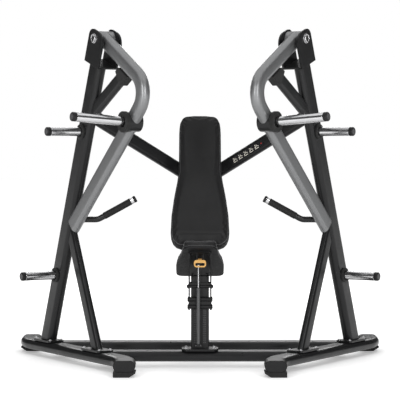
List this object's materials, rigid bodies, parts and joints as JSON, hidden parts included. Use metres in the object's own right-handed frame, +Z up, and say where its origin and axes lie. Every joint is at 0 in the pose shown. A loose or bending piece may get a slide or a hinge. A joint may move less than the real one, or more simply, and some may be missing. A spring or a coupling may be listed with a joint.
{
  "type": "chest press machine",
  "caption": "Plate-loaded chest press with two separate converging press arms, weight horns, an upright back pad and a height-adjustable seat on a splayed tube frame.",
  "frame": {"origin": "on the floor, under the middle of the machine's width and depth", "axes": "+X to the left hand of the seated user, +Y towards the back of the machine, +Z up; the user faces -Y"},
  "size_m": [2.1404, 1.3963, 1.8657],
  "materials": {
    "frame_paint": "satin charcoal powder coat",
    "arm_paint": "satin grey metallic powder coat",
    "chrome": "polished",
    "bronze": "plain bearing",
    "black_plastic": "moulded, fine texture",
    "rubber": "matte",
    "upholstery": "black artificial leather over foam",
    "lever_finish": "orange-gold paint"
  },
  "bodies": {
    "frame": {"left_side_rail": "frame_paint", "left_rail_front_cap": "black_plastic", "left_rail_rear_cap": "black_plastic", "left_front_foot": "rubber", "left_rear_foot": "rubber", "left_upright": "frame_paint", "left_front_leg": "frame_paint", "left_pivot_bracket": "frame_paint", "left_pivot_shaft": "chrome", "left_bumper_strut": "frame_paint", "left_bumper_pad": "rubber", "left_back_brace": "frame_paint", "left_upper_storage_horn": "chrome", "left_upper_storage_collar": "rubber", "left_lower_storage_horn": "chrome", "left_lower_storage_collar": "rubber", "right_side_rail": "frame_paint", "right_rail_front_cap": "black_plastic", "right_rail_rear_cap": "black_plastic", "right_front_foot": "rubber", "right_rear_foot": "rubber", "right_upright": "frame_paint", "right_front_leg": "frame_paint", "right_pivot_bracket": "frame_paint", "right_pivot_shaft": "chrome", "right_bumper_strut": "frame_paint", "right_bumper_pad": "rubber", "right_back_brace": "frame_paint", "right_upper_storage_horn": "chrome", "right_upper_storage_collar": "rubber", "right_lower_storage_horn": "chrome", "right_lower_storage_collar": "rubber", "front_crossbar": "frame_paint", "rear_crossbar": "frame_paint", "back_post": "frame_paint", "backrest_bracket": "frame_paint", "backrest_pad": "upholstery", "seat_column": "frame_paint", "gas_spring_cylinder": "black_plastic"},
    "left_arm": {"left_press_arm": "arm_paint", "left_lower_arm": "arm_paint", "left_pivot_bush": "bronze", "left_loading_collar": "rubber", "left_loading_horn": "chrome", "left_handle_tube": "frame_paint", "left_hand_grip": "rubber"},
    "right_arm": {"right_press_arm": "arm_paint", "right_lower_arm": "arm_paint", "right_pivot_bush": "bronze", "right_loading_collar": "rubber", "right_loading_horn": "chrome", "right_handle_tube": "frame_paint", "right_hand_grip": "rubber"},
    "seat": {"seat_carriage": "frame_paint", "seat_bracket": "frame_paint", "seat_pad": "upholstery", "gas_spring_rod": "chrome", "lever_pin": "chrome"},
    "release_lever": {"release_lever": "lever_finish"}
  },
  "joints": [
    {"name": "left_arm_hinge", "type": "hinge", "parent": "frame", "child": "left_arm", "pos_m": [-0.52572, -0.2266, 1.812], "axis": [-0.8387, -0.5446, 0], "range_deg": [0, 35]},
    {"name": "right_arm_hinge", "type": "hinge", "parent": "frame", "child": "right_arm", "pos_m": [0.52572, -0.2266, 1.812], "axis": [-0.8387, 0.5446, 0], "range_deg": [0, 35]},
    {"name": "seat_slide", "type": "slide", "parent": "frame", "child": "seat", "axis": [0, 0, 1], "range_m": [-0.03, 0.06]},
    {"name": "lever_hinge", "type": "hinge", "parent": "seat", "child": "release_lever", "pos_m": [0, -0.245, 0.6], "axis": [-1, 0, 0], "range_deg": [0, 10], "stiffness_Nm_per_rad": 2, "springref_deg": -17.19}
  ]
}
